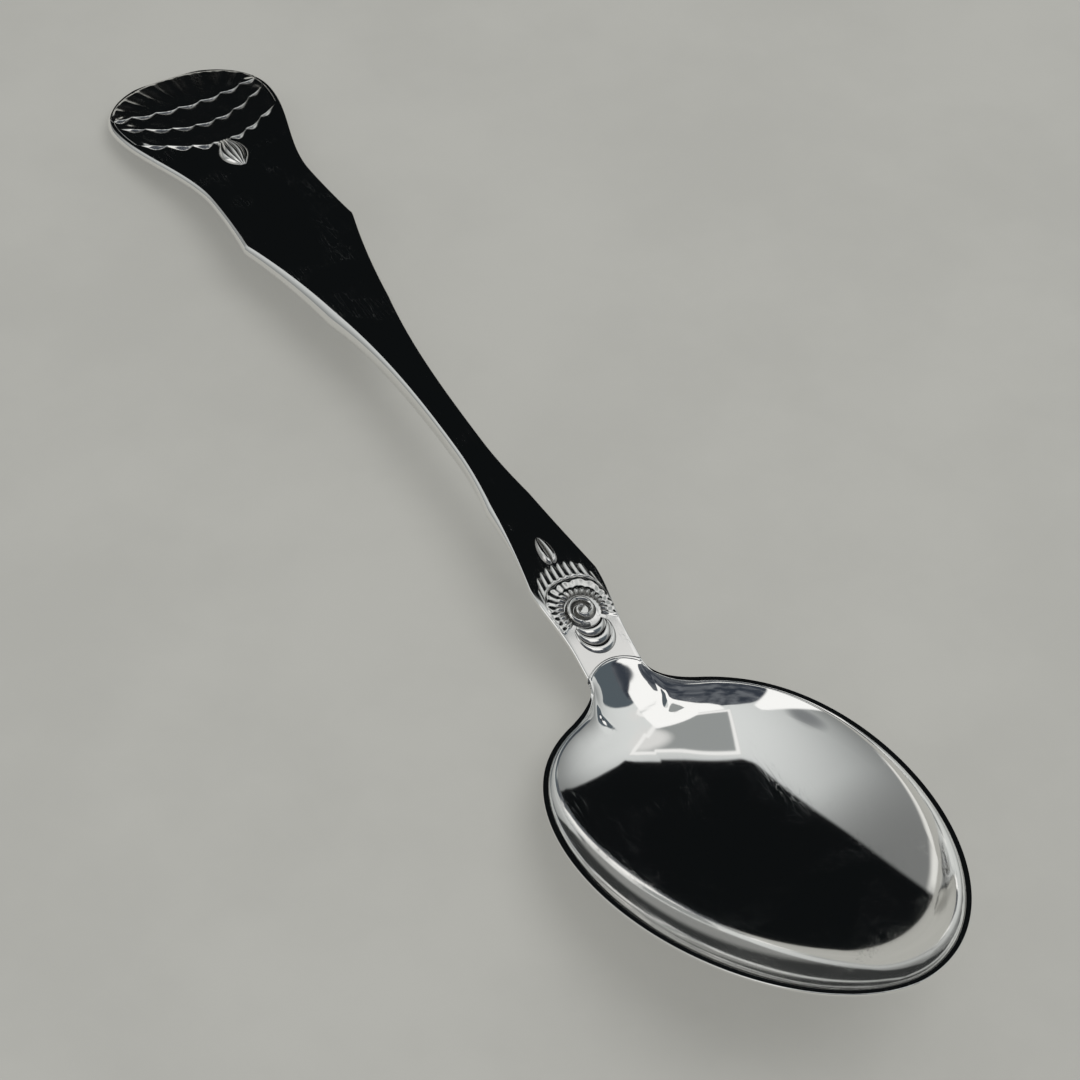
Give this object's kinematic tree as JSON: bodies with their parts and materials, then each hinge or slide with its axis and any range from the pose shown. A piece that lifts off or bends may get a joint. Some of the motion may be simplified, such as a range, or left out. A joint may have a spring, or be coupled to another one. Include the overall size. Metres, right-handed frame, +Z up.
{
  "type": "tablespoon",
  "caption": "Polished silver tablespoon with an egg-shaped bowl, a waisted handle with shoulder cusps, and raised shell and scroll ornaments.",
  "frame": {"origin": "centre of the spoon's bounding box in plan, on the surface that it rests on", "axes": "+X along the spoon from the handle's end to the bowl's tip, +Y across it, +Z up out of the open bowl"},
  "size_m": [0.205, 0.041, 0.0213],
  "materials": {
    "bowl_silver": "mirror-polished silver with fine use scratches",
    "stem_silver": "polished silver with fine lengthwise scratches",
    "ornament_silver": "cast silver, polished on its high places and darker in its recesses"
  },
  "bodies": {
    "root": {"bowl": "bowl_silver", "stem": "stem_silver", "shell_fan": "ornament_silver", "shell_tier_middle": "ornament_silver", "shell_tier_lower": "ornament_silver", "shell_husk": "ornament_silver", "neck_collar": "ornament_silver", "neck_rays": "ornament_silver", "neck_scroll": "ornament_silver", "neck_foot": "ornament_silver", "tendril_left": "ornament_silver", "tendril_right": "ornament_silver"}
  },
  "joints": []
}
